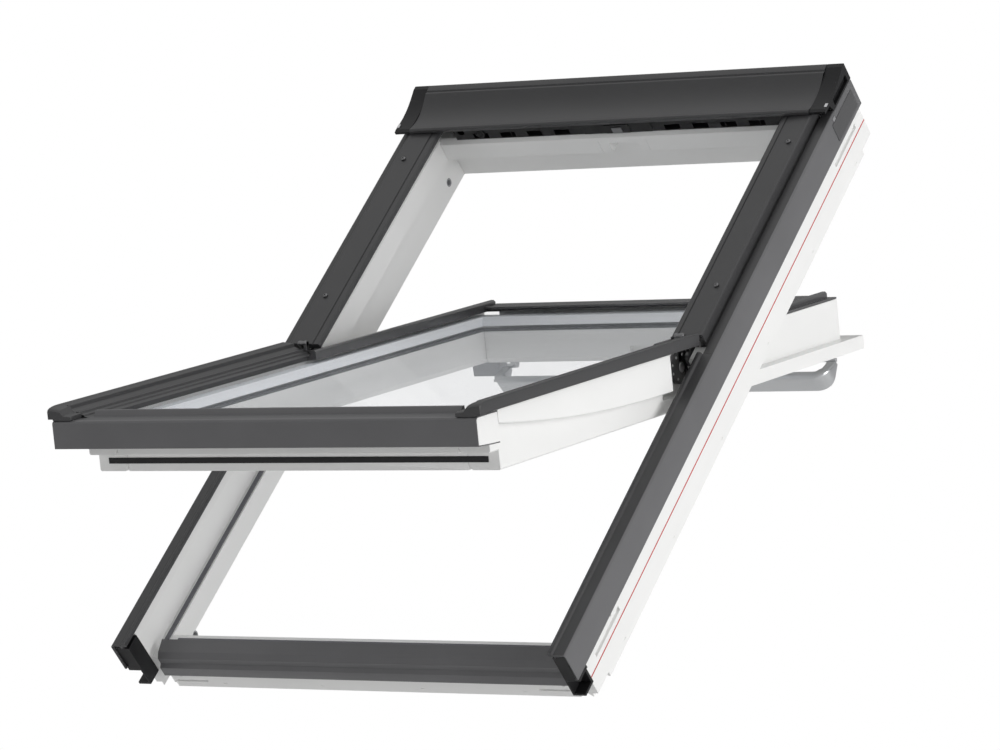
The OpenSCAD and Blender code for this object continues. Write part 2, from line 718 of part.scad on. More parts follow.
// Ears on the top rail that carry the control bar
module bar_brackets() {
    sash() color(steel) for (s = [-1, 1]) hand(s) difference() {
        union() {
            translate([bar_l / 2 - 53, bar_axis_v - 12, -sash_depth - 2])
                cube([14, 24, 2]);
            translate([bar_l / 2 - 53, bar_axis_v - 6, bar_axis_n - 1]) cube([5, 12, 9]);
            rod(bar_l / 2 - 53, bar_l / 2 - 48, bar_axis_v, bar_axis_n, 6, 32);
        }
        rod(bar_l / 2 - 54, bar_l / 2 - 47, bar_axis_v, bar_axis_n, 3 + run_fit, 24);
    }
}

// Control bar: an oval rail with an arm at each end
module control_bar() {
    arm = bar_l / 2 - 47.5;
    sash() color(steel) {
        hull() for (d = [-7, 7])
            rod(-bar_l / 2, bar_l / 2, bar_v + d * 0.75, bar_n - d * 0.65, 8, 28);
        for (s = [-1, 1]) hand(s) {
            hull() {
                rod(arm, arm + 5, bar_axis_v, bar_axis_n, 6, 28);
                rod(arm, arm + 5, bar_v + 4, bar_n, 8, 28);
            }
            rod(arm - 6.5, arm + 1, bar_axis_v, bar_axis_n, 3, 24);
        }
    }
}

module latch_case() {
    sash() color(steel) difference() {
        translate([-38, sash_main_v - 38, latch_n]) cube([76, 36, latch_h]);
        translate([-17, sash_main_v - 30, latch_n + 2.5]) cube([34, 40, 8.5]);
    }
}

module latch_bolt() {
    sash() color(steel) translate([-16.5, sash_main_v - 20, latch_n + 3]) cube([33, 30, 7.5]);
}

frame_jamb_left();
frame_jamb_right();
frame_head();
frame_sill();
side_cladding_left();
side_cladding_right();
sill_cladding();
sill_strip();
corner_piece_left();
corner_piece_right();
upper_cover_left();
upper_cover_right();
hood();
hood_cap_left();
hood_cap_right();
hood_clips();
vent_housing();
striker();
upper_gasket();
lower_gasket();
hinge_frame_left();
hinge_frame_right();
bolt_bushes();
frame_screws();
sash_stile_left();
sash_stile_right();
sash_top_rail();
sash_bottom_rail();
outer_pane();
inner_pane();
pane_spacer();
glass_bedding();
sash_fascia();
sash_cover_left();
sash_cover_right();
sash_trim_left();
sash_trim_right();
sash_top_trim();
hinge_sash_left();
hinge_sash_right();
bolt_housing();
bar_brackets();
latch_case();
sash_screws();
barrel_bolt();
control_bar();
vent_flap();
latch_bolt();
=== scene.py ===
import json
import math
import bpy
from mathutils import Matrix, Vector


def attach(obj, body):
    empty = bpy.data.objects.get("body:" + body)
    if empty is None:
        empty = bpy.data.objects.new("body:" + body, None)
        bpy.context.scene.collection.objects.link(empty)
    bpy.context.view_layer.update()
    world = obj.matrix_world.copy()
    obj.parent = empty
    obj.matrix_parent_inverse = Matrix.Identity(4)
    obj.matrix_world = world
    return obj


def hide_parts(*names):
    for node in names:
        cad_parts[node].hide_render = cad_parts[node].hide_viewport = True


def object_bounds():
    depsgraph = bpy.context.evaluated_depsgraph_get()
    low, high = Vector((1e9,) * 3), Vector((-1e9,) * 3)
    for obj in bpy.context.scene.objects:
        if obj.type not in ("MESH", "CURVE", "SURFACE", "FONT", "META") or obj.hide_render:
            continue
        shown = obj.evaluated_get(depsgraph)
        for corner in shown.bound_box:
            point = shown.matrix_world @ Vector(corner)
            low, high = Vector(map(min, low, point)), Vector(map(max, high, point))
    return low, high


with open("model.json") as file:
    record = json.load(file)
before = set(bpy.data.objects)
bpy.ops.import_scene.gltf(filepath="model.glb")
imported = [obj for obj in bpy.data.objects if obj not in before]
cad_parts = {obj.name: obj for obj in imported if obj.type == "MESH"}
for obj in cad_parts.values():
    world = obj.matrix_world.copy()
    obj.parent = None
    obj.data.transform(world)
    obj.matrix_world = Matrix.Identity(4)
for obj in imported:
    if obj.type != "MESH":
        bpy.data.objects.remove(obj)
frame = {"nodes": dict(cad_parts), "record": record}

from types import SimpleNamespace

import bpy
import bmesh
import numpy as np
from mathutils import Vector

cad_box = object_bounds()

bl_info = {
    "name": "Centre-pivot roof window",
    "version": (1, 0, 0),
    "blender": (4, 5, 0),
    "location": "View3D > Sidebar > Roof Window",
    "description": "Finishes, claddings, glazing and fittings of a centre-pivot roof window",
    "category": "Add Mesh",
}


# ---- Sizes and colours that a user may change ----

class RoofWindowSizes(bpy.types.PropertyGroup):
    frame_width: bpy.props.FloatProperty(
        name="Frame width", description="Outer width of the white frame",
        default=0.780, unit="LENGTH")
    frame_length: bpy.props.FloatProperty(
        name="Frame length", description="Outer length of the white frame, up the slope",
        default=1.178, unit="LENGTH")
    pitch: bpy.props.FloatProperty(
        name="Roof pitch", description="Slope of the roof plane",
        default=math.radians(46), subtype="ANGLE")
    opening: bpy.props.FloatProperty(
        name="Sash opening", description="How far the sash is turned open",
        default=math.radians(35.5), subtype="ANGLE")
    install_depth: bpy.props.FloatProperty(
        name="Install depth", description="Depth of the fixing plane below the cladding ridge",
        default=0.084, unit="LENGTH")
    pivot_rise: bpy.props.FloatProperty(
        name="Pivot rise", description="Height of the pivot axis above the cladding ridge",
        default=0.020, unit="LENGTH")
    clad_out: bpy.props.FloatProperty(
        name="Cladding overhang", description="How far each side cladding stands out past the frame",
        default=0.0085, unit="LENGTH")
    sheet: bpy.props.FloatProperty(
        name="Sheet", description="Thickness of the folded aluminium sheet",
        default=0.0013, unit="LENGTH")
    floor_gap: bpy.props.FloatProperty(
        name="Floor gap", description="Height of the object's lowest point above the floor",
        default=0.45, unit="LENGTH")


class RoofWindowColours(bpy.types.PropertyGroup):
    lacquer: bpy.props.FloatVectorProperty(
        name="Lacquer", description="Colour of the white frame and sash",
        default=(0.83, 0.83, 0.82), subtype="COLOR")
    cladding: bpy.props.FloatVectorProperty(
        name="Cladding", description="Colour of the aluminium claddings",
        default=(0.118, 0.118, 0.122), subtype="COLOR")
    plastic: bpy.props.FloatVectorProperty(
        name="Black plastic", description="Colour of the end caps and corner pieces",
        default=(0.012, 0.012, 0.013), subtype="COLOR")
    rubber: bpy.props.FloatVectorProperty(
        name="Rubber", description="Colour of the gaskets",
        default=(0.010, 0.010, 0.011), subtype="COLOR")
    grey: bpy.props.FloatVectorProperty(
        name="Grey plastic", description="Colour of the bushes, strip and bolt housing",
        default=(0.33, 0.335, 0.345), subtype="COLOR")
    steel: bpy.props.FloatVectorProperty(
        name="Steel", description="Colour of the zinc-plated fittings",
        default=(0.60, 0.60, 0.61), subtype="COLOR")
    aluminium: bpy.props.FloatVectorProperty(
        name="Aluminium", description="Colour of the anodised control bar",
        default=(0.62, 0.63, 0.64), subtype="COLOR")
    red_line: bpy.props.FloatVectorProperty(
        name="Red fitting line", description="Colour of the long line on the frame's sides",
        default=(0.50, 0.03, 0.03), subtype="COLOR")
    blue_line: bpy.props.FloatVectorProperty(
        name="Blue fitting line", description="Colour of the short line on the frame's sides",
        default=(0.06, 0.20, 0.55), subtype="COLOR")
    glass: bpy.props.FloatVectorProperty(
        name="Glass", description="Tint of the panes",
        default=(0.86, 0.91, 0.97), subtype="COLOR")


def layout():
    """Sizes in millimetres in the plane of the roof: x across, v up the slope, n out of the roof.
    n is 0 on the ridge of the side claddings, and v is 0 at the frame's foot."""
    s = bpy.context.scene.roof_window_sizes
    mm = 1000.0
    k = SimpleNamespace()
    k.pitch = s.pitch
    k.opening = s.opening
    k.install = s.install_depth * mm
    k.width = s.frame_width * mm
    k.length = s.frame_length * mm
    k.half = k.width / 2
    k.pivot_v = k.length / 2
    k.pivot_n = s.pivot_rise * mm
    k.clad_x = k.half + s.clad_out * mm
    k.sheet = s.sheet * mm
    k.room_x = k.half - 34
    k.light_x = k.room_x - 59
    k.stop_x = k.room_x - 14
    k.rebate_x = k.room_x + 16
    k.main_x = k.stop_x - 10
    k.glass_x = k.main_x - 8
    k.wide_x = k.rebate_x - 4
    k.ridge_x = k.clad_x - 22
    k.head_v = k.length - 42
    k.head_stop_v = k.head_v - 36
    k.sash_main_v = k.head_stop_v - 6
    k.hood_v = k.length - 98
    k.hood_x = k.clad_x - 29
    k.hood_back = k.length + 1.8
    k.rail_front, k.strip_low, k.strip_high = 55.0, -73.7, -64.9
    k.glass_v0 = 12.0
    return k


# ---- Places ----

def roof_place(k, p):
    """Tips points [x, v, n] about X: v and n turn by the pitch round the centre of the fixing plane."""
    dv, dn = p[..., 1] - k.pivot_v, p[..., 2] + k.install
    c, s = math.cos(k.pitch), math.sin(k.pitch)
    return np.stack([p[..., 0], dv * c - dn * s, dv * s + dn * c], -1) / 1000.0


def sash_place(k, p):
    """Turns points of the closed sash about the pivot by the opening, then tips them with the roof:
    v' = v cos a + n sin a and n' = n cos a - v sin a, both measured from the pivot."""
    dv, dn = p[..., 1] - k.pivot_v, p[..., 2] - k.pivot_n
    c, s = math.cos(k.opening), math.sin(k.opening)
    turned = np.stack([p[..., 0], k.pivot_v + dv * c + dn * s, k.pivot_n - dv * s + dn * c], -1)
    return roof_place(k, turned)


# ---- Surfaces ----

def fillet(corners, radius, closed=True, steps=4):
    """Outline whose corners are turned into arcs: each corner c gives the curve
    (1-t)^2 a + 2t(1-t) c + t^2 b, where a and b lie a radius's tangent length before and after it."""
    c = np.asarray(corners, float)[:, :2]
    r = np.broadcast_to(np.asarray(radius, float), (len(c),))
    before, after = np.roll(c, 1, 0) - c, np.roll(c, -1, 0) - c
    lb, la = np.linalg.norm(before, axis=1), np.linalg.norm(after, axis=1)
    ub, ua = before / lb[:, None], after / la[:, None]
    half_angle = np.arccos(np.clip((ub * ua).sum(1), -1, 1)) / 2
    reach = np.minimum(r / np.maximum(np.tan(half_angle), 1e-3), 0.48 * np.minimum(lb, la))
    t = np.linspace(0, 1, steps)[None, :, None]
    a, b = c + ub * reach[:, None], c + ua * reach[:, None]
    run = (1 - t) ** 2 * a[:, None] + 2 * t * (1 - t) * c[:, None] + t ** 2 * b[:, None]
    if not closed:
        return np.concatenate([c[:1], run[1:-1].reshape(-1, 2), c[-1:]])
    return run.reshape(-1, 2)


def folded(corners, thickness, radius=1.5, steps=4):
    """Outline of a folded sheet: the filleted run, and the same run set off to its left by the
    thickness. The offset at each point lies along the mean of its two neighbouring normals."""
    outer = fillet(corners, radius, closed=False, steps=steps)
    along = np.diff(outer, axis=0)
    along /= np.linalg.norm(along, axis=1)[:, None]
    normal = np.stack([-along[:, 1], along[:, 0]], 1)
    first, last = normal[:1], normal[-1:]
    mean = np.concatenate([first, normal[:-1] + normal[1:], last])
    mean /= np.linalg.norm(mean, axis=1)[:, None]
    ends = np.concatenate([first, normal])
    stretch = 1 / np.clip((mean * ends).sum(1), 0.5, 1)
    inner = outer + mean * (thickness * stretch)[:, None]
    return np.concatenate([outer, inner[::-1]])


def run_grid(outline, stations, axis):
    """Closed outlines carried along an axis: row i of the grid is outline i at station i.
    Axis v carries [x, n] up the slope, axis x carries [v, n] across. Flat faces close the two ends."""
    outline = np.asarray(outline, float)
    stations = np.asarray(stations, float)
    if outline.ndim == 2:
        outline = np.broadcast_to(outline, (len(stations),) + outline.shape)
    k, m = outline.shape[:2]
    s = np.broadcast_to(stations[:, None], (k, m))
    a, b = outline[..., 0], outline[..., 1]
    return sheet_faces(np.stack([a, s, b], -1) if axis == "v" else np.stack([s, a, b], -1))


def sheet_faces(grid):
    """Closes a grid of k rings of m points into a skin: quads between the rings, a face at each end."""
    k, m = grid.shape[:2]
    i, j = np.meshgrid(np.arange(k - 1), np.arange(m), indexing="ij")
    j2 = (j + 1) % m
    quads = np.stack([i * m + j, i * m + j2, (i + 1) * m + j2, (i + 1) * m + j], -1).reshape(-1, 4)
    ends = [list(range(m))[::-1], list(range((k - 1) * m, k * m))]
    return grid.reshape(-1, 3), quads.tolist() + ends


def block(x0, x1, v0, v1, n0, n1, radius=0.6):
    """A bar with rounded long edges from x0 to x1: its [v, n] section is a filleted rectangle."""
    section = fillet([[v0, n0], [v1, n0], [v1, n1], [v0, n1]], radius)
    return run_grid(section, [x0, x1], "x")


def plate(x0, x1, n0, n1, v0, v1, radius):
    """A bar with rounded long edges from v0 to v1: its [x, n] section is a filleted rectangle."""
    section = fillet([[x0, n0], [x1, n0], [x1, n1], [x0, n1]], radius)
    return run_grid(section, [v0, v1], "v")


def disc(x0, x1, v, n, r, sides=40, lip=0.0):
    """A round bar along x: circles r round (v, n), drawn in by the lip at both ends."""
    a = np.linspace(0, 2 * np.pi, sides, endpoint=False)
    ring = np.stack([np.cos(a), np.sin(a)], 1)
    radii = np.array([r - lip, r, r, r - lip])
    outlines = np.array([v, n]) + ring[None] * radii[:, None, None]
    return run_grid(outlines, [x0, x0 + max(lip, 1e-3), x1 - max(lip, 1e-3), x1], "x")


def mirrored(part):
    """The same surface on the other side: x changes sign and each face runs the other way."""
    points, faces = part
    return points * [-1, 1, 1], [f[::-1] for f in faces]


def joined(*parts):
    """Several surfaces as one list of points and faces."""
    points, faces, base = [], [], 0
    for p, f in parts:
        points.append(p)
        faces += [[i + base for i in face] for face in f]
        base += len(p)
    return np.concatenate(points), faces


def add_piece(name, part, place, body, material, bevel=0.4, bevel_angle=35, replaces=()):
    """Puts a surface into a mesh object in the row's frame, with its finish, soft edges and body."""
    k = layout()
    points, faces = part
    mesh = bpy.data.meshes.new(name)
    mesh.from_pydata(place(k, np.asarray(points, float)).tolist(), [], faces)
    b = bmesh.new()
    b.from_mesh(mesh)
    bmesh.ops.recalc_face_normals(b, faces=b.faces)
    b.to_mesh(mesh)
    b.free()
    mesh.shade_smooth()
    mesh.set_sharp_from_angle(angle=math.radians(bevel_angle))
    obj = bpy.data.objects.new(name, mesh)
    bpy.context.scene.collection.objects.link(obj)
    mesh.materials.append(material)
    if bevel:
        soften(obj, bevel, bevel_angle)
    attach(obj, body)
    if replaces:
        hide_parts(*replaces)
    return obj


def soften(obj, width, angle):
    """Rounds every edge that is sharper than the angle, by the width in millimetres."""
    m = obj.modifiers.new("soft_edges", "BEVEL")
    m.width = width / 1000
    m.segments = 2
    m.limit_method = "ANGLE"
    m.angle_limit = math.radians(angle)
    m.use_clamp_overlap = True
    m.harden_normals = True


# ---- Finishes ----

def node_tree(name):
    """A new material, with its node tree, its shader and a node that gives object coordinates."""
    m = bpy.data.materials.new(name)
    m.use_nodes = True
    t = m.node_tree
    return m, t, t.nodes["Principled BSDF"], t.nodes.new("ShaderNodeTexCoord")


def grain(t, coord, scale, stretch=(1, 1, 1), detail=3.0, turn=(0, 0, 0)):
    """Noise on object coordinates, stretched along the axes and turned."""
    mapping = t.nodes.new("ShaderNodeMapping")
    mapping.inputs["Scale"].default_value = stretch
    mapping.inputs["Rotation"].default_value = turn
    noise = t.nodes.new("ShaderNodeTexNoise")
    noise.inputs["Scale"].default_value = scale
    noise.inputs["Detail"].default_value = detail
    t.links.new(coord.outputs["Object"], mapping.inputs["Vector"])
    t.links.new(mapping.outputs["Vector"], noise.inputs["Vector"])
    return noise.outputs["Fac"]


# The part of a noise field's values that the finishes use
field_low, field_high = 0.3, 0.7


def remap(t, value, low, high):
    """The field's middle part spread from low to high."""
    r = t.nodes.new("ShaderNodeMapRange")
    r.inputs["From Min"].default_value = field_low
    r.inputs["From Max"].default_value = field_high
    r.inputs["To Min"].default_value = low
    r.inputs["To Max"].default_value = high
    t.links.new(value, r.inputs["Value"])
    return r.outputs["Result"]


def tone(t, value, colour, spread):
    """Colour that wanders between a darker and a lighter tone of itself."""
    ramp = t.nodes.new("ShaderNodeValToRGB")
    low, high = ramp.color_ramp.elements
    low.position, high.position = field_low, field_high
    low.color = [c * (1 - spread) for c in colour] + [1]
    high.color = [min(c * (1 + spread), 1) for c in colour] + [1]
    t.links.new(value, ramp.inputs["Fac"])
    return ramp.outputs["Color"]


def bump(t, value, shader, distance, strength=1.0):
    """Relief of the given depth in metres."""
    b = t.nodes.new("ShaderNodeBump")
    b.inputs["Distance"].default_value = distance
    b.inputs["Strength"].default_value = strength
    t.links.new(value, b.inputs["Height"])
    t.links.new(b.outputs["Normal"], shader.inputs["Normal"])


def coating(name, colour, rough, spread, grain_scale, relief, patch_scale=6.0, specular=0.5,
            coat=0.0, metallic=0.0, stretch=(1, 1, 1), turn=(0, 0, 0)):
    """A finish with slow patches of tone (spread), a roughness that wanders, and a fine relief in
    metres. The scales of grain and patches are in waves per metre."""
    m, t, shader, coord = node_tree(name)
    patches = grain(t, coord, patch_scale)
    fine = grain(t, coord, grain_scale, stretch, 4.0, turn)
    t.links.new(tone(t, patches, colour, spread), shader.inputs["Base Color"])
    t.links.new(remap(t, fine, rough * 0.9, rough * 1.12), shader.inputs["Roughness"])
    bump(t, fine, shader, relief)
    shader.inputs["Specular IOR Level"].default_value = specular
    shader.inputs["Metallic"].default_value = metallic
    if coat:
        shader.inputs["Coat Weight"].default_value = coat
        shader.inputs["Coat Roughness"].default_value = 0.2
    return m


def pane_finish(name, colour):
    """Clear glass: the film is mostly see-through, with a sharp gloss and a faint tint that wanders."""
    m, t, shader, coord = node_tree(name)
    patches = grain(t, coord, 2.0)
    t.links.new(tone(t, patches, colour, 0.03), shader.inputs["Base Color"])
    shader.inputs["Roughness"].default_value = 0.03
    shader.inputs["IOR"].default_value = 1.45
    shader.inputs["Alpha"].default_value = 0.085
    shader.inputs["Specular IOR Level"].default_value = 0.5
    return m


finishes = {}

# Solid parts whose finish isn't the plain one of their slot
special_finish = {"hood_clips": "dark_steel", "frame_screws": "dark_steel",
                  "sash_screws": "dark_steel",
                  "sash_trim_left": "gloss_trim", "sash_trim_right": "gloss_trim",
                  "sash_top_trim": "gloss_trim", "vent_flap": "gloss_trim",
                  "striker": "white_lacquer",
                  "lower_gasket": "grey_rubber"}


def finish(name):
    """The finish of that name, which the first operator made."""
    return finishes[name]


class ROOFWINDOW_OT_finishes(bpy.types.Operator):
    """Makes the finish of every material slot and gives it to the solid parts that stay as built"""
    bl_idname = "roofwindow.finishes"
    bl_label = "Finishes"

    def execute(self, context):
        c = context.scene.roof_window_colours
        weld_gap, moulded_edge, plain_edge = 0.00002, 0.9, 0.5
        # Each row: colour, roughness, spread of tone, grain, relief
        finishes["white_lacquer"] = coating("white_lacquer", c.lacquer, 0.34, 0.012, 420, 0.00002,
                                            coat=0.15)
        finishes["dark_cladding"] = coating("dark_cladding", c.cladding, 0.34, 0.05, 1400, 0.00002,
                                            patch_scale=9)
        finishes["black_plastic"] = coating("black_plastic", c.plastic, 0.45, 0.12, 900, 0.00004,
                                            specular=0.28)
        finishes["gasket"] = coating("gasket", c.rubber, 0.55, 0.15, 700, 0.00005, specular=0.35)
        finishes["grey_rubber"] = coating("grey_rubber", [14 * q for q in c.rubber], 0.55, 0.08, 700,
                                          0.00004, specular=0.3)
        finishes["grey_plastic"] = coating("grey_plastic", c.grey, 0.4, 0.04, 800, 0.00002)
        finishes["steel"] = coating("steel", c.steel, 0.3, 0.05, 120, 0.00001, metallic=1.0,
                                    stretch=(1, 12, 12))
        # Painted shade: a darker copy of the cladding finish, given to the covers, hood and ridge
        # strips that face up, so that their tops look less lit than the skirts
        finishes["painted_shade_cladding"] = coating("painted_shade_cladding", [0.42 * q for q in c.cladding], 0.36, 0.05,
                                            1400, 0.00002, patch_scale=9, specular=0.4)
        finishes["spacer"] = coating("spacer", (0.90, 0.92, 0.95), 0.25, 0.02, 300, 0.00001,
                                     specular=0.8)
        finishes["gloss_trim"] = coating("gloss_trim", [0.6 * q for q in c.cladding], 0.2, 0.05, 900,
                                         0.00001, specular=0.6, coat=0.4)
        finishes["dark_steel"] = coating("dark_steel", [0.35 * q for q in c.steel], 0.38, 0.08, 120,
                                         0.00001, metallic=1.0, stretch=(1, 12, 12))
        finishes["mesh_grey"] = coating("mesh_grey", [0.04 * q for q in c.steel], 0.5, 0.08, 600,
                                        0.00003, specular=0.2)
        finishes["red_line"] = coating("red_line", c.red_line, 0.5, 0.05, 300, 0.00001)
        finishes["blue_line"] = coating("blue_line", c.blue_line, 0.5, 0.05, 300, 0.00001)
        finishes["aluminium"] = coating("aluminium", c.aluminium, 0.3, 0.02, 160, 0.00001,
                                        metallic=1.0, stretch=(0.06, 5, 5))
        finishes["glass"] = pane_finish("glass", c.glass)
        slots = {p["node"]: p["material_slot"] for p in frame["record"]["subparts"]}
        for name, obj in frame["nodes"].items():
            obj.data.materials.clear()
            obj.data.materials.append(finishes[special_finish.get(name, slots[name])])
            if slots[name] == "glass":
                continue
            weld = obj.modifiers.new("weld", "WELD")
            weld.merge_threshold = weld_gap
            soften(obj, moulded_edge if slots[name] == "white_lacquer" else plain_edge, 32)
        return {"FINISHED"}


def both_sides(name, part, place, body, material, node, bevel=0.3, bevel_angle=40):
    """The piece on the right, and the same piece mirrored on the left. Each stands for its node."""
    add_piece(name + "_right", part, place, body, material, bevel, bevel_angle,
              (node + "_right",))
    add_piece(name + "_left", mirrored(part), place, body, material, bevel, bevel_angle,
              (node + "_left",))


class ROOFWINDOW_OT_side_claddings(bpy.types.Operator):
    """Folded claddings along both sides of the frame, with a rolled outer edge and a hemmed skirt"""
    bl_idname = "roofwindow.side_claddings"
    bl_label = "Side claddings"

    def execute(self, context):
        k = layout()
        x = k.clad_x
        run = folded([[x - 3.4, -50.6], [x, -51], [x, 0], [x - 19, 0], [x - 19, -6]], k.sheet,
                     [0, 0.8, 3.6, 0.9, 0], 6)
        part = run_grid(run, [-32, k.length], "v")
        # Painted shadow: the flat strip is a darker sheet laid on the cladding's top flat in the upper
        # half, where the covers shade it
        flat = plate(x - 19.4, x - 2.6, -0.6, 0.25, k.pivot_v - 18, k.length - 0.4, 0.3)
        # Below the pivot the strip runs on over the rebate's edge and ends in a low lip
        lip = run_grid(fillet([[x - 28.6, -2.4], [x - 20.4, -2.4], [x - 19.4, -0.6], [x - 2.6, -0.6],
                               [x - 2.6, 0.25], [x - 20.0, 0.25], [x - 21.2, 3.6], [x - 24.4, 4.5],
                               [x - 28.6, 3.8]], [0.4, 0.3, 0.3, 0.3, 0.3, 0.6, 0.9, 1.0, 0.9]),
                       [-31.6, k.pivot_v - 18.4], "v")
        strip = joined(flat, lip)
        add_piece("ridge_strips_painted_shade", joined(strip, mirrored(strip)), roof_place, "frame",
                  finish("painted_shade_cladding"), 0)
        both_sides("folded_cladding", part, roof_place, "frame",
                   finish("dark_cladding"), "side_cladding", 0.25)
        return {"FINISHED"}


class ROOFWINDOW_OT_upper_covers(bpy.types.Operator):
    """Covers over the jambs in the upper half, with a grooved inner edge"""
    bl_idname = "roofwindow.upper_covers"
    bl_label = "Upper covers"

    def execute(self, context):
        k = layout()
        x1 = k.clad_x - 25
        x0 = x1 - 56
        run = folded([[x1 - 12, -10], [x1, -10], [x1, 14.2], [x1 - 3, 15], [x1 - 7, 14.4],
                      [x0 + 14, 12.9], [x0 + 12.4, 10.4], [x0 + 10.8, 12.6], [x0 + 3.4, 12.2],
                      [x0, 9], [x0, 4.2]], k.sheet,
                     [0, 0.6, 1.6, 1.2, 1, 0.7, 0.5, 0.8, 1.6, 1.5, 0], 5)
        body = run_grid(run, [k.pivot_v + 6.5, k.hood_v + 16], "v")
        foot = block(x0 + 1, x1 - 1, k.pivot_v + 5.9, k.pivot_v + 7.2, 3.4, 12.2, 1.2)
        # The covers take the darker copy of the cladding finish, which paints the shade on their tops
        both_sides("ridge_cover", joined(body, foot), roof_place, "frame",
                   finish("painted_shade_cladding"), "upper_cover", 0.25)
        return {"FINISHED"}


class ROOFWINDOW_OT_hood(bpy.types.Operator):
    """Hood over the head: rolled lip, hollow face, crease and a flat top band that folds down behind"""
    bl_idname = "roofwindow.hood"
    bl_label = "Hood"

    def execute(self, context):
        k = layout()
        v0, v1 = k.hood_v, k.hood_back
        # The hollow face rises 9.6 mm over 73 mm and sags 6 mm below that line at its middle
        count, rise, sag, face = 22, 9.6, 6.0, 73
        t = np.linspace(0, 1, count)
        hollow = np.stack([v0 + 7 + t * face, 21.2 + rise * t ** 1.25 - sag * np.sin(np.pi * t)], -1)
        corners = ([[v1, -30], [v1, 32], [v1 - 13.2, 31.6], [v1 - 14.6, 29.6], [v1 - 16.4, 30.4]]
                   + hollow[::-1].tolist()
                   + [[v0 + 4.2, 22.6], [v0 + 0.4, 21.6], [v0, 15.4], [v0 + 5, 15.4]])
        radii = [0, 2.4, 0.6, 0.3, 0.8] + [0.5] * count + [1.6, 2.4, 1.0, 0]
        run = folded(corners, k.sheet, radii, 5)
        # The hood takes the darker copy of the cladding finish, which paints the shade on its top
        add_piece("hood_sheet", run_grid(run, [-k.hood_x, k.hood_x], "x"), roof_place, "frame",
                  finish("painted_shade_cladding"), 0.2, 40, ("hood",))
        clips = []
        for v, n in ((k.length - 5, 24), (k.hood_v + 14, 20)):
            clips.append(block(k.clad_x - 5, k.clad_x - 0.4, v - 4, v + 4, n, n + 1.6, 0.5))
        part = joined(*clips)
        add_piece("cap_clips", joined(part, mirrored(part)), roof_place, "frame",
                  finish("steel"), 0.2)
        tab = block(k.clad_x, k.clad_x + 1.15, k.hood_v + 9, k.hood_v + 17, -10, -4.2, 0.4)
        side = block(k.clad_x, k.clad_x + 1.0, k.hood_v + 2, k.hood_v + 86, -44, -11, 2.5)
        add_piece("side_plate_tabs", joined(tab, mirrored(tab)), roof_place, "frame",
                  finish("steel"), 0.2)
        add_piece("side_plates", joined(side, mirrored(side)), roof_place, "frame",
                  finish("dark_steel"), 0.2, 40, ("hood_clips",))
        return {"FINISHED"}


class ROOFWINDOW_OT_install_lines(bpy.types.Operator):
    """Coloured fitting lines printed along the sides of the frame"""
    bl_idname = "roofwindow.install_lines"
    bl_label = "Fitting lines"

    def execute(self, context):
        k = layout()
        for name, v0, v1, n in (("red_line", 0.5, k.length - 0.5, -84.6),
                                ("blue_line", k.length - 38, k.length - 1, -53.4)):
            line = block(k.half - 0.2, k.half + 0.2, v0, v1, n - 0.4, n + 1.7, 0.2)
            add_piece("fitting_" + name, joined(line, mirrored(line)), roof_place, "frame",
                      finish(name), 0)
        return {"FINISHED"}


class ROOFWINDOW_OT_sash_covers(bpy.types.Operator):
    """Covers over the sash's sides in the lower half: skirt, ridge, bead, groove and glass edge"""
    bl_idname = "roofwindow.sash_covers"
    bl_label = "Sash covers"

    def execute(self, context):
        k = layout()
        x1, xf = k.ridge_x, k.glass_x - 4
        # From the skirt over the ridge, the bead, the groove and its rib, down to the glass
        corners = [[x1 - 1.5, 6], [x1, 6.6], [x1, 24], [x1 - 14, 22.4], [x1 - 19, 21.4],
                   [x1 - 20.4, 22.3], [x1 - 22.2, 21.0], [x1 - 23.6, 16], [xf + 23.4, 11.2],
                   [xf + 22, 12.4], [xf + 17.6, 11.8], [xf + 16.2, 8.8], [xf + 9, 7.6],
                   [xf + 7.6, 5.2], [xf, 3], [xf, -3.7]]
        radii = [0, 0.5, 2.2, 1, 0.5, 0.8, 0.9, 1.2, 0.6, 0.7, 0.8, 0.6, 0.7, 0.8, 1.0, 0]
        run = folded(corners, k.sheet, radii, 5)
        lower = run_grid(run, [3.2, k.pivot_v - 5.5], "v")
        # The nose: the outer part of the run, drawn down to a rounded tip past the fascia
        tip_v, tip_l = -22.6, 26.2
        t = np.linspace(0, 1, 12)
        reach = np.sqrt(np.clip(1 - (1 - t) ** 2, 0, 1))
        nose = fillet([[x1, 6.0], [x1, 24], [x1 - 14, 22.4], [x1 - 23.4, 20.4], [x1 - 30, 12],
                       [x1 - 44, 10.4], [x1 - 44, 3.4], [x1 - 9.6, 3.4], [x1 - 9.0, 6.0]],
                      [0.6, 2.4, 1.4, 1.8, 1.4, 1.4, 0.6, 0.3, 0.3])
        middle = np.array([x1 - 22, 3.4])
        outlines = middle + (nose - middle)[None] * np.stack(
            [0.93 + 0.07 * reach, 0.72 + 0.28 * reach], -1)[:, None]
        tip = run_grid(outlines, tip_v + t * tip_l, "v")
        end = block(xf + 1, x1 - 0.8, k.pivot_v - 6.6, k.pivot_v - 5.4, 3.6, 10.4, 1.0)
        # The covers take the darker copy of the cladding finish, which paints the shade on their tops
        both_sides("grooved_cover", joined(lower, tip, end), sash_place, "sash",
                   finish("painted_shade_cladding"), "sash_cover", 0.25)
        return {"FINISHED"}


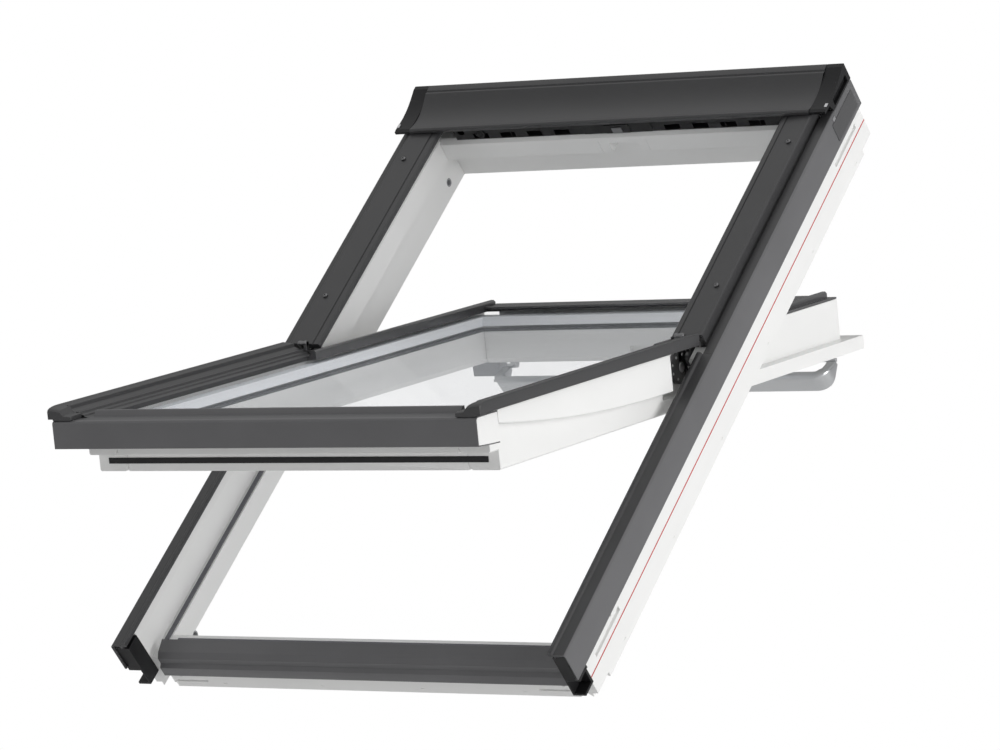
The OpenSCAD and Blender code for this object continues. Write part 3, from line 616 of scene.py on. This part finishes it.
class ROOFWINDOW_OT_stiles(bpy.types.Operator):
    """Sash stiles whose wide outer part thins towards the foot along a curved step"""
    bl_idname = "roofwindow.stiles"
    bl_label = "Sash stiles"

    def execute(self, context):
        k = layout()
        light_x, low_x, deep = k.light_x, k.room_x - 7, -85.0
        foot_v, bend_v, turn_v = 33, k.pivot_v - 80, k.pivot_v + 40
        v = np.unique(np.concatenate([np.linspace(foot_v, k.rail_front, 5),
                                      np.linspace(k.rail_front + 0.02, bend_v, 60)]))
        # The step's edge: top - drop (1 - (1 - t)^2), with t from 0 at the foot to 1 after the run
        step_top, step_drop, step_run = -14.5, 36, 440
        t = np.clip((v - foot_v) / step_run, 0, 1)
        step = step_top - step_drop * (1 - (1 - t) ** 2)
        foot = np.where(v <= k.rail_front, -57.0, deep)

        def ring(count, *points):
            """The section's points at each station; a value may be one number or one per station."""
            one = np.ones(count)
            return np.stack([np.stack([a * one, b * one], -1) for a, b in points], 1)

        inside = ((k.glass_x + 4, -30), (light_x, -30))
        room_edge = ((light_x, deep + 8), (light_x + 6, deep))
        lower = run_grid(ring(len(v), (light_x, foot + 8), (light_x + 6, foot), (low_x - 2, foot),
                              (low_x, foot + 2), (low_x, step - 2), (low_x + 1.5, step - 0.6),
                              (k.wide_x - 1.2, step), (k.wide_x, step + 1.6), (k.wide_x, 4.0),
                              (k.glass_x + 12, 4.0), (k.glass_x + 8, -5), (k.glass_x + 4, -5),
                              *inside), v, "v")
        middle = run_grid(ring(2, *room_edge, (low_x - 2, deep), (low_x, deep + 2), (low_x, -64),
                               (k.main_x, -64), (k.main_x, -0.2), (k.glass_x + 4, -0.2),
                               *inside), [bend_v, turn_v], "v")
        upper = run_grid(ring(2, *room_edge, (k.room_x - 3, deep), (k.room_x - 3, -64),
                              (k.main_x, -64), (k.main_x, -0.2), (k.glass_x + 4, -0.2),
                              *inside), [turn_v, k.sash_main_v], "v")
        end = run_grid(ring(2, *room_edge, (k.room_x - 3, deep), (k.room_x - 3, -64),
                            (light_x, -64)), [k.sash_main_v, k.head_v - 5], "v")
        both_sides("shaped_stile", joined(lower, middle, upper, end), sash_place, "sash",
                   finish("white_lacquer"), "sash_stile", 0.6, 32)
        return {"FINISHED"}


class ROOFWINDOW_OT_glass_edge(bpy.types.Operator):
    """Bright spacer between the panes, and the black bead that seats the glass"""
    bl_idname = "roofwindow.glass_edge"
    bl_label = "Glass edge"

    def execute(self, context):
        k = layout()
        x, v0, v1, strip_x = k.light_x, 46.0, k.head_v - 97, 331

        def frame_ring(inside, width, n0, n1):
            """A band round the light: four corners, each with the section's four points."""
            a, b = x - inside, x - inside + width
            lo, hi = v0 + inside, v1 - inside
            inner = np.array([[-a, lo], [a, lo], [a, hi], [-a, hi]])
            outer = np.array([[-b, lo - width], [b, lo - width], [b, hi + width], [-b, hi + width]])
            rings = np.stack([np.concatenate([p, np.full((4, 1), h)], 1) for p, h in
                              ((inner, n0), (outer, n0), (outer, n1), (inner, n1))], 1)
            i, j = np.meshgrid(np.arange(4), np.arange(4), indexing="ij")
            i2, j2 = (i + 1) % 4, (j + 1) % 4
            quads = np.stack([i * 4 + j, i * 4 + j2, i2 * 4 + j2, i2 * 4 + j], -1).reshape(-1, 4)
            return rings.reshape(-1, 3), quads.tolist()

        add_piece("spacer_band", frame_ring(0, 24, -23.6, -8.4), sash_place, "sash",
                  finish("spacer"), 0, replaces=("pane_spacer",))
        add_piece("glass_bead", frame_ring(1.2, 13, -32.2, -28.3), sash_place, "sash",
                  finish("gasket"), 0.3, replaces=("glass_bedding",))
        strip = block(-strip_x, strip_x, k.rail_front - 1.2, k.rail_front + 1.5, k.strip_low,
                      k.strip_high, 0.5)
        add_piece("rail_gasket", strip, sash_place, "sash", finish("gasket"), 0.2)
        return {"FINISHED"}


class ROOFWINDOW_OT_fascia(bpy.types.Operator):
    """Fascia over the sash's lower rail, with a rolled top edge and a raised bar over the glass foot"""
    bl_idname = "roofwindow.fascia"
    bl_label = "Fascia"

    def execute(self, context):
        k = layout()
        # From the glass over the top, down the front and back under the rail
        corners = [[k.glass_v0 + 14, -3.6], [k.glass_v0 + 14, 3.2], [-18, 3.2], [-21, 2.2],
                   [-23.4, -0.6], [-23.4, -38.4], [-12, -39], [12, -41], [32.6, -42]]
        radii = [0, 1.0, 2.0, 1.6, 2.6, 1.2, 1.2, 1, 0]
        run = folded(corners, k.sheet, radii, 6)
        part = run_grid(run, [-k.wide_x + 0.5, k.wide_x - 0.5], "x")
        bar = run_grid(fillet([[12.5, 1.4], [20.4, 11.8], [26, 12], [26, 1.4]], [0.5, 1.8, 1.2, 0.4]),
                       [-k.glass_x + 5, k.glass_x - 5], "x")
        add_piece("fascia_sheet", joined(part, bar), sash_place, "sash",
                  finish("dark_cladding"), 0.2, 40, ("sash_fascia",))
        end = run_grid(fillet([[-21.6, -36.8], [-8, -38], [12, -39.4], [32.4, -40.2], [32.4, 1.5],
                               [-18, 1.5], [-21.6, -1.5]], 1.2), [k.wide_x - 16, k.wide_x - 0.3], "x")
        add_piece("rail_ends", joined(end, mirrored(end)), sash_place, "sash",
                  finish("white_lacquer"), 0.3)
        return {"FINISHED"}


class ROOFWINDOW_OT_hinges(bpy.types.Operator):
    """Pivot plates with slim eyes, pins and rivet heads, on the frame and on the sash"""
    bl_idname = "roofwindow.hinges"
    bl_label = "Pivot hinges"

    def execute(self, context):
        k = layout()
        v, n, eye_r, pin_r = k.pivot_v, k.pivot_n, 4.6, 3.9

        def hinge(side, x0, thick, base, low, extra, heads, place):
            """A plate with its neck and eye for the node, and its heads as a piece of their own."""
            neck = block(x0, x0 + thick, v - 4, v + 4, low, n, 1.2)
            eye = disc(x0, x0 + thick, v, n, eye_r, 36, 0.5)
            both_sides("pivot_plate_" + side, joined(base, neck, eye, *extra), place, side,
                       finish("dark_steel"), "hinge_" + side, 0.35)
            add_piece("rivets_" + side, joined(heads, mirrored(heads)), place, side,
                      finish("steel"), 0.2)

        # Frame: a rectangular plate with three heads towards the room
        x0, thick = k.stop_x, 6
        v0, v1, n0, n1 = v - 17, v + 27, -42, -8
        base = block(x0, x0 + thick, v0, v1, n0, n1, 7)
        heads = joined(*(disc(x0 - 0.9, x0 + 0.4, v0 + a * (v1 - v0), n0 + b * (n1 - n0), 2.6, 24, 0.7)
                         for a, b in ((0.18, 0.3), (0.82, 0.3), (0.5, 0.7))))
        hinge("frame", x0, thick, base, -10, [], heads, roof_place)

        # Sash: an oval plate with the pin, a ring of nine heads and a boss at its middle
        x0, thick = k.main_x + 0.3, 5
        mid_v, mid_n = v + 2, -27
        turn = np.linspace(0, 2 * np.pi, 48, endpoint=False)
        oval = np.stack([mid_v + 35 * np.cos(turn), mid_n + 25 * np.sin(turn)], -1)
        base = run_grid(oval, [x0, x0 + thick], "x")
        rivets = [disc(x0 + thick - 0.4, x0 + thick + 0.9, mid_v + 27 * math.cos(q),
                       mid_n + 18.5 * math.sin(q), 2.3, 20, 0.7)
                  for q in np.linspace(0, 2 * np.pi, 9, endpoint=False)]
        boss = disc(x0 + thick - 0.4, x0 + thick + 1.2, mid_v, mid_n, 8, 36, 0.9)
        pin = disc(x0, k.stop_x + 7, v, n, pin_r, 32, 0.6)
        hinge("sash", x0, thick, base, -18, [pin], joined(*rivets, boss), sash_place)
        return {"FINISHED"}


class ROOFWINDOW_OT_vent_fittings(bpy.types.Operator):
    """Air grille and catch plate on the front of the housing under the hood"""
    bl_idname = "roofwindow.vent_fittings"
    bl_label = "Vent fittings"

    def execute(self, context):
        k = layout()
        v = k.head_stop_v + 2
        mid_x, mid_n, rim_r, hole_r = -256, -9.5, 8.6, 6.6
        a = np.linspace(0, 2 * np.pi, 40, endpoint=False)
        ring = np.stack([mid_x + rim_r * np.cos(a), mid_n + rim_r * np.sin(a)], -1)
        hole = np.stack([mid_x + hole_r * np.cos(a), mid_n + hole_r * np.sin(a)], -1)
        rim = run_grid(np.stack([ring, ring, hole, hole]), [v - 0.2, v - 1.8, v - 1.8, v - 0.4], "v")
        slats = [plate(mid_x - w, mid_x + w, mid_n + h - 0.7, mid_n + h + 0.7, v - 1.2, v - 0.1, 0.3)
                 for h, w in ((-4, 4.9), (-1.4, 6.3), (1.4, 6.3), (4, 4.9))]
        add_piece("air_grille", joined(rim, *slats), roof_place, "frame",
                  finish("mesh_grey"), 0.15)
        panel = plate(-62, 66, -21, 4, v - 1.6, v - 0.1, 2.5)
        guide = plate(-20, 26, -20, -3, v - 3.4, v - 1.5, 2)
        keeper = plate(-6, 12, -19.4, -8, v - 4.6, v - 3.3, 1.5)
        add_piece("catch_plate", joined(panel, guide), roof_place, "frame",
                  finish("mesh_grey"), 0.2)
        add_piece("catch_keeper", keeper, roof_place, "frame", finish("dark_steel"), 0.2)
        seams = [plate(x - 0.5, x + 0.5, -21.6, 5.4, v - 0.5, v - 0.05, 0.2)
                 for x in (-198, -140, 140, 200, 262)]
        add_piece("housing_seams", joined(*seams), roof_place, "frame",
                  finish("black_plastic"), 0)
        return {"FINISHED"}


class ROOFWINDOW_OT_control_bar(bpy.types.Operator):
    """Grip bar across the sash's top rail, with round ends on two curved arms"""
    bl_idname = "roofwindow.control_bar"
    bl_label = "Control bar"

    def execute(self, context):
        k = layout()
        axis_v, axis_n = k.sash_main_v - 10, -94
        v, n, half = axis_v - 34, -124, 320
        shape = fillet([[-17, -8.5], [17, -8.5], [17, 8.5], [-17, 8.5]], 6, steps=6)
        reach = np.array([axis_v - v, axis_n - n]) / math.hypot(axis_v - v, axis_n - n)
        flat = np.array([-reach[1], reach[0]])
        bend = np.linspace(0, np.pi / 2, 12)
        r = 17.0
        # Centre line: up from the rail, round a quarter circle, and straight across
        rise = np.concatenate([[36.0, 28.0], r - r * np.sin(bend)])
        turn_in = np.concatenate([[0, 0], r - r * np.cos(bend)])
        left, right = -half + 37, half + 3
        across = np.concatenate([left + turn_in, right - turn_in[::-1]])
        rise = np.concatenate([rise, rise[::-1]])
        along = np.stack([np.gradient(across), np.gradient(rise)], -1)
        along /= np.linalg.norm(along, axis=1)[:, None]
        normal = np.stack([-along[:, 1], along[:, 0]], -1)
        x = across[:, None] + normal[:, :1] * shape[None, :, 1]
        up = rise[:, None] + normal[:, 1:] * shape[None, :, 1]
        taper = np.clip(1.05 - 0.028 * np.maximum(rise - 6, 0), 0.25, 1)
        wide = taper[:, None] * shape[None, :, 0]
        grid = np.stack([x, v + up * reach[0] + wide * flat[0],
                         n + up * reach[1] + wide * flat[1]], -1)
        grip = sheet_faces(grid)
        arm_x = half - 47.5
        arm = block(arm_x, arm_x + 5, axis_v - 5.5, axis_v + 5.5, axis_n - 6, axis_n + 5, 2.5)
        bridges = [block(x0, x1, axis_v - 2.5, axis_v + 2.5, axis_n - 5, axis_n + 1, 1.2)
                   for x0, x1 in ((left - 4, -arm_x - 2), (arm_x + 2, right + 4))]
        pin = disc(arm_x - 6.4, arm_x + 6.2, axis_v, axis_n, 2.95, 28, 0.4)
        part = joined(arm, pin)
        add_piece("grip_bar", joined(grip, *bridges, part, mirrored(part)), sash_place,
                  "control_bar", finish("aluminium"), 0.3, 50, ("control_bar",))
        return {"FINISHED"}


class ROOFWINDOW_OT_stage(bpy.types.Operator):
    """Sets a pale floor, soft studio lights and the camera"""
    bl_idname = "roofwindow.stage"
    bl_label = "Stage"

    def execute(self, context):
        scene = context.scene
        low = min(cad_box[0][2], cad_box[1][2]) - scene.roof_window_sizes.floor_gap
        radius, sides = 6, 96
        turn = np.linspace(0, 2 * np.pi, sides, endpoint=False)
        rim = np.stack([radius * np.cos(turn), radius * np.sin(turn), np.full(sides, low)], -1)
        mesh = bpy.data.meshes.new("floor")
        mesh.from_pydata(rim.tolist(), [], [list(range(sides))])
        floor = bpy.data.objects.new("floor", mesh)
        scene.collection.objects.link(floor)
        m, t, shader, coord = node_tree("floor")
        pale = tone(t, grain(t, coord, 0.4), (0.86, 0.86, 0.86), 0.01)
        t.links.new(pale, shader.inputs["Base Color"])
        shader.inputs["Roughness"].default_value = 0.8
        shader.inputs["Specular IOR Level"].default_value = 0.1
        mesh.materials.append(m)

        # The camera sees plain white; the object is lit by a sky that is bright near the horizon
        world = bpy.data.worlds.new("studio")
        scene.world = world
        world.use_nodes = True
        tree = world.node_tree
        plain = tree.nodes["Background"]
        plain.inputs["Color"].default_value = (1, 1, 1, 1)
        plain.inputs["Strength"].default_value = 1.0
        sky = tree.nodes.new("ShaderNodeBackground")
        sky.inputs["Strength"].default_value = 1.0
        coord = tree.nodes.new("ShaderNodeTexCoord")
        split = tree.nodes.new("ShaderNodeSeparateXYZ")
        height = tree.nodes.new("ShaderNodeMapRange")
        height.inputs["From Min"].default_value = -1.0
        ramp = tree.nodes.new("ShaderNodeValToRGB")
        for place, level in ((0.0, 0.32), (0.40, 0.38), (0.49, 0.52), (0.54, 0.50), (0.66, 0.11),
                             (1.0, 0.04)):
            stop = ramp.color_ramp.elements.new(place)
            stop.color = (level, level, level * 1.01, 1)
        ramp.color_ramp.elements.remove(ramp.color_ramp.elements[0])
        ramp.color_ramp.elements.remove(ramp.color_ramp.elements[-1])
        tree.links.new(coord.outputs["Generated"], split.inputs["Vector"])
        tree.links.new(split.outputs["Z"], height.inputs["Value"])
        tree.links.new(height.outputs["Result"], ramp.inputs["Fac"])
        tree.links.new(ramp.outputs["Color"], sky.inputs["Color"])
        path = tree.nodes.new("ShaderNodeLightPath")
        mix = tree.nodes.new("ShaderNodeMixShader")
        tree.links.new(path.outputs["Is Camera Ray"], mix.inputs["Fac"])
        tree.links.new(sky.outputs["Background"], mix.inputs[1])
        tree.links.new(plain.outputs["Background"], mix.inputs[2])
        tree.links.new(mix.outputs["Shader"], tree.nodes["World Output"].inputs["Surface"])

        def softbox(name, where, aim, width, height, power):
            data = bpy.data.lights.new(name, "AREA")
            data.shape = "RECTANGLE"
            data.size, data.size_y = width, height
            data.energy = power
            light = bpy.data.objects.new(name, data)
            light.location = where
            light.rotation_euler = (Vector(aim) - Vector(where)).to_track_quat("-Z", "Y").to_euler()
            scene.collection.objects.link(light)

        softbox("key", (5.8, -0.6, 0.8), (0, 0, 0), 3.5, 3.5, 188)
        softbox("fill", (-4.0, -4.5, 2.0), (0, 0, 0), 3.0, 3.0, 18)

        camera_data = bpy.data.cameras.new("camera")
        camera_data.sensor_width = 36.0
        camera_data.lens = 172.5
        camera = bpy.data.objects.new("camera", camera_data)
        camera.location = (3.945, -6.198, -0.155)
        aim = Vector((0.0398, -0.0996, 0.0178))
        camera.rotation_euler = (aim - camera.location).to_track_quat("-Z", "Y").to_euler()
        scene.collection.objects.link(camera)
        scene.camera = camera
        scene.view_settings.view_transform = "Standard"
        return {"FINISHED"}


class ROOFWINDOW_PT_panel(bpy.types.Panel):
    """Sizes, colours and pieces of the roof window"""
    bl_idname = "ROOFWINDOW_PT_panel"
    bl_label = "Roof Window"
    bl_space_type = "VIEW_3D"
    bl_region_type = "UI"
    bl_category = "Roof Window"

    def draw(self, context):
        for group in (context.scene.roof_window_sizes, context.scene.roof_window_colours):
            for name in group.__annotations__:
                self.layout.prop(group, name)
        for step in steps:
            self.layout.operator(step.bl_idname)


steps = (ROOFWINDOW_OT_finishes, ROOFWINDOW_OT_side_claddings, ROOFWINDOW_OT_upper_covers,
         ROOFWINDOW_OT_hood, ROOFWINDOW_OT_install_lines, ROOFWINDOW_OT_sash_covers,
         ROOFWINDOW_OT_stiles, ROOFWINDOW_OT_glass_edge, ROOFWINDOW_OT_fascia,
         ROOFWINDOW_OT_hinges, ROOFWINDOW_OT_vent_fittings, ROOFWINDOW_OT_control_bar,
         ROOFWINDOW_OT_stage)
classes = (RoofWindowSizes, RoofWindowColours) + steps + (ROOFWINDOW_PT_panel,)


def register():
    for c in classes:
        bpy.utils.register_class(c)
    bpy.types.Scene.roof_window_sizes = bpy.props.PointerProperty(type=RoofWindowSizes)
    bpy.types.Scene.roof_window_colours = bpy.props.PointerProperty(type=RoofWindowColours)


def unregister():
    del bpy.types.Scene.roof_window_sizes
    del bpy.types.Scene.roof_window_colours
    for c in reversed(classes):
        bpy.utils.unregister_class(c)


def main():
    register()
    for step in steps:
        group, name = step.bl_idname.split(".")
        getattr(getattr(bpy.ops, group), name)()


if __name__ == "__main__":
    main()
